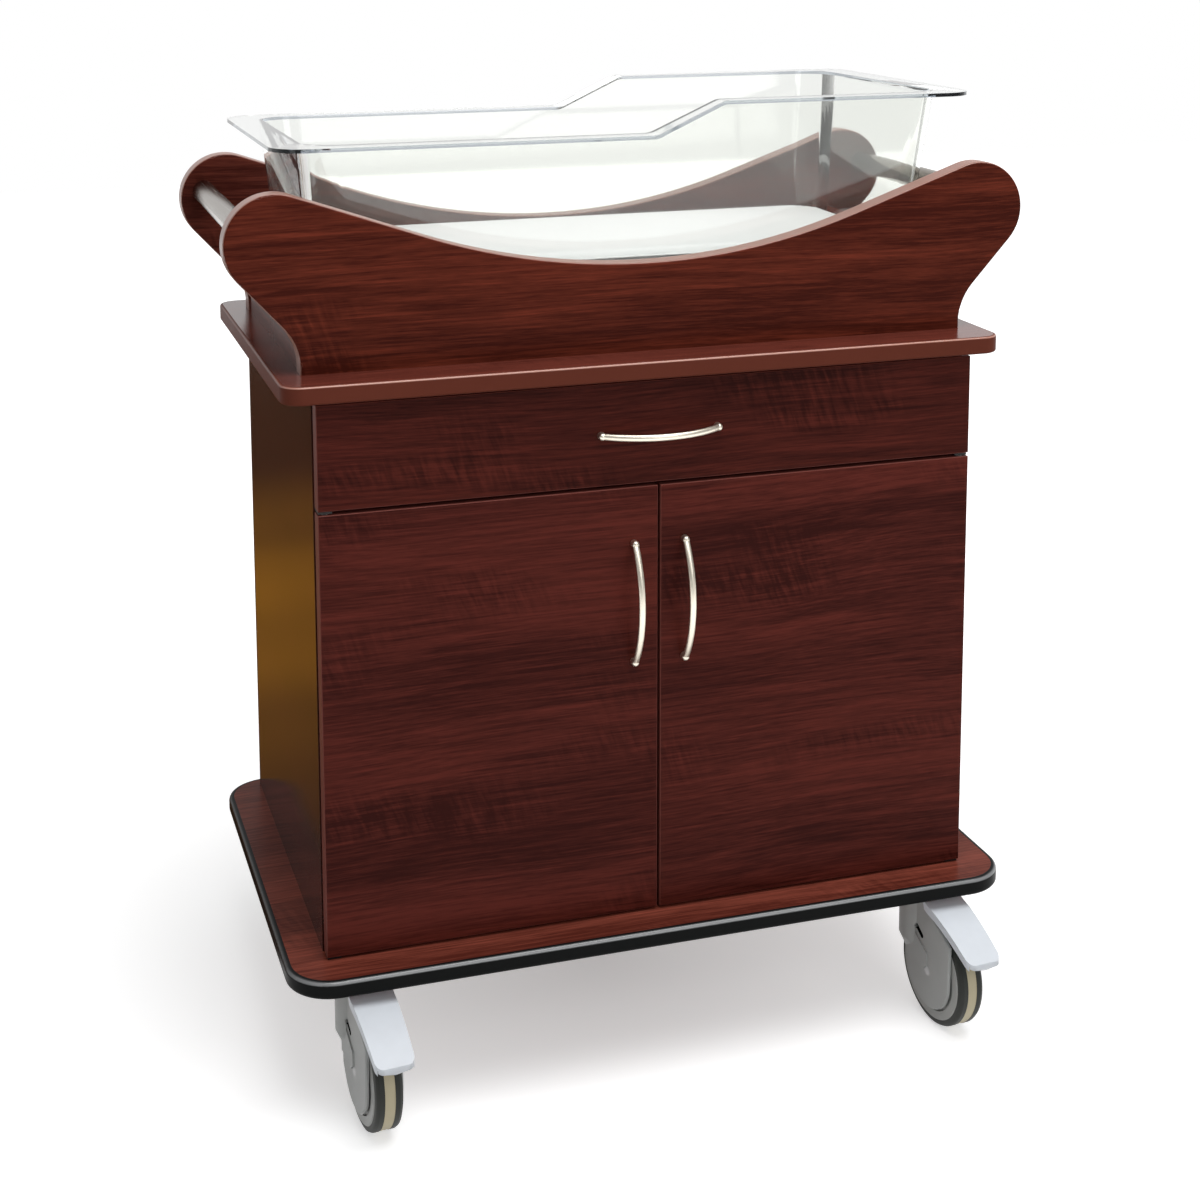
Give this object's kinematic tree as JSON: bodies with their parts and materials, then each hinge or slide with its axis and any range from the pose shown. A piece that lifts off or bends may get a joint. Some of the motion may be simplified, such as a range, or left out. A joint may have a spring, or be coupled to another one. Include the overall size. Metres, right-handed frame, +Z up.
{
  "type": "hospital bassinet",
  "caption": "Wheeled wooden cabinet with drawer and doors, a shaped cradle with push rods on top, and a clear lift-out tub with a mattress.",
  "frame": {"origin": "on the floor, under the middle of the base board", "axes": "+X along the front towards the head end of the tub, -Y towards the door side, +Z up"},
  "size_m": [0.88, 0.6376, 1.0303],
  "materials": {
    "mahogany_laminate": "satin printed mahogany laminate",
    "edge_band": "satin rounded edging",
    "bumper": "satin black",
    "steel_rod": "brushed",
    "nickel": "satin nickel",
    "zinc": "zinc plated",
    "nylon": "matte",
    "drawer_board": "pale melamine",
    "clear_plastic": "clear, glossy",
    "mattress_cover": "white wipe-clean cover",
    "caster_housing": "moulded grey",
    "pedal_plastic": "moulded light grey",
    "wheel_plastic": "moulded grey",
    "tyre": "grey rubber with a beige middle band"
  },
  "bodies": {
    "cabinet": {"base_board": "mahogany_laminate", "base_bumper": "bumper", "cabinet_floor": "mahogany_laminate", "side_panel_left": "mahogany_laminate", "side_panel_right": "mahogany_laminate", "back_panel": "mahogany_laminate", "drawer_divider": "mahogany_laminate", "shelf": "mahogany_laminate", "shelf_pins": "zinc", "top_rails": "mahogany_laminate", "top_board": "mahogany_laminate", "top_edging": "edge_band", "cradle_side_front": "mahogany_laminate", "cradle_side_rear": "mahogany_laminate", "cradle_end_left": "mahogany_laminate", "cradle_end_right": "mahogany_laminate", "tub_bearers": "mahogany_laminate", "push_rod_left": "steel_rod", "push_rod_right": "steel_rod", "slide_outer": "zinc", "door_pivots": "zinc", "door_catches": "nylon", "caster_plates": "zinc"},
    "drawer": {"drawer_front": "mahogany_laminate", "drawer_sides": "drawer_board", "drawer_bottom": "drawer_board", "drawer_box_front": "drawer_board", "drawer_box_back": "drawer_board", "drawer_handle": "nickel", "slide_inner": "zinc"},
    "drawer_runner": {"slide_middle": "zinc"},
    "left_door": {"door_left": "mahogany_laminate", "door_left_handle": "nickel", "door_left_bushes": "nylon"},
    "right_door": {"door_right": "mahogany_laminate", "door_right_handle": "nickel", "door_right_bushes": "nylon"},
    "tub": {"tub": "clear_plastic"},
    "mattress": {"mattress": "mattress_cover"},
    "fork_fl": {"caster_fl_fork": "caster_housing", "caster_fl_pins": "zinc"},
    "wheel_fl": {"caster_fl_wheel": "wheel_plastic", "caster_fl_tyre": "tyre"},
    "pedal_fl": {"caster_fl_pedal": "pedal_plastic"},
    "fork_fr": {"caster_fr_fork": "caster_housing", "caster_fr_pins": "zinc"},
    "wheel_fr": {"caster_fr_wheel": "wheel_plastic", "caster_fr_tyre": "tyre"},
    "pedal_fr": {"caster_fr_pedal": "pedal_plastic"},
    "fork_rl": {"caster_rl_fork": "caster_housing", "caster_rl_pins": "zinc"},
    "wheel_rl": {"caster_rl_wheel": "wheel_plastic", "caster_rl_tyre": "tyre"},
    "pedal_rl": {"caster_rl_pedal": "pedal_plastic"},
    "fork_rr": {"caster_rr_fork": "caster_housing", "caster_rr_pins": "zinc"},
    "wheel_rr": {"caster_rr_wheel": "wheel_plastic", "caster_rr_tyre": "tyre"},
    "pedal_rr": {"caster_rr_pedal": "pedal_plastic"}
  },
  "joints": [
    {"name": "drawer_slide", "type": "slide", "parent": "cabinet", "child": "drawer", "axis": [0, -1, 0], "range_m": [0, 0.36]},
    {"name": "runner_slide", "type": "slide", "parent": "cabinet", "child": "drawer_runner", "axis": [0, -1, 0], "range_m": [0, 0.18]},
    {"name": "left_door_hinge", "type": "hinge", "parent": "cabinet", "child": "left_door", "pos_m": [-0.351, -0.199, 0.403], "axis": [0, 0, -1], "range_deg": [0, 110]},
    {"name": "right_door_hinge", "type": "hinge", "parent": "cabinet", "child": "right_door", "pos_m": [0.351, -0.199, 0.403], "axis": [0, 0, 1], "range_deg": [0, 110]},
    {"name": "tub_lift", "type": "slide", "parent": "cabinet", "child": "tub", "axis": [0, 0, 1], "range_m": [0, 0.3]},
    {"name": "mattress_lift", "type": "slide", "parent": "tub", "child": "mattress", "axis": [0, 0, 1], "range_m": [0, 0.25]},
    {"name": "swivel_fl", "type": "hinge", "parent": "cabinet", "child": "fork_fl", "pos_m": [-0.323, -0.195, 0.13], "axis": [0, 0, 1], "continuous": true},
    {"name": "spin_fl", "type": "hinge", "parent": "fork_fl", "child": "wheel_fl", "pos_m": [-0.31951, -0.23485, 0.06], "axis": [0.9962, 0.0872, 0], "continuous": true},
    {"name": "brake_fl", "type": "hinge", "parent": "fork_fl", "child": "pedal_fl", "pos_m": [-0.32004, -0.22887, 0.128], "axis": [0.9962, 0.0872, 0], "range_deg": [0, 6]},
    {"name": "swivel_fr", "type": "hinge", "parent": "cabinet", "child": "fork_fr", "pos_m": [0.323, -0.195, 0.13], "axis": [0, 0, 1], "continuous": true},
    {"name": "spin_fr", "type": "hinge", "parent": "fork_fr", "child": "wheel_fr", "pos_m": [0.32649, -0.23485, 0.06], "axis": [0.9962, 0.0872, 0], "continuous": true},
    {"name": "brake_fr", "type": "hinge", "parent": "fork_fr", "child": "pedal_fr", "pos_m": [0.32596, -0.22887, 0.128], "axis": [0.9962, 0.0872, 0], "range_deg": [0, 6]},
    {"name": "swivel_rl", "type": "hinge", "parent": "cabinet", "child": "fork_rl", "pos_m": [-0.323, 0.195, 0.13], "axis": [0, 0, 1], "continuous": true},
    {"name": "spin_rl", "type": "hinge", "parent": "fork_rl", "child": "wheel_rl", "pos_m": [-0.31951, 0.23485, 0.06], "axis": [-0.9962, 0.0872, 0], "continuous": true},
    {"name": "brake_rl", "type": "hinge", "parent": "fork_rl", "child": "pedal_rl", "pos_m": [-0.32004, 0.22887, 0.128], "axis": [-0.9962, 0.0872, 0], "range_deg": [0, 6]},
    {"name": "swivel_rr", "type": "hinge", "parent": "cabinet", "child": "fork_rr", "pos_m": [0.323, 0.195, 0.13], "axis": [0, 0, 1], "continuous": true},
    {"name": "spin_rr", "type": "hinge", "parent": "fork_rr", "child": "wheel_rr", "pos_m": [0.32649, 0.23485, 0.06], "axis": [-0.9962, 0.0872, 0], "continuous": true},
    {"name": "brake_rr", "type": "hinge", "parent": "fork_rr", "child": "pedal_rr", "pos_m": [0.32596, 0.22887, 0.128], "axis": [-0.9962, 0.0872, 0], "range_deg": [0, 6]}
  ],
  "couplings": [
    {"joint": "runner_slide", "follows": "drawer_slide", "ratio": 0.5}
  ]
}
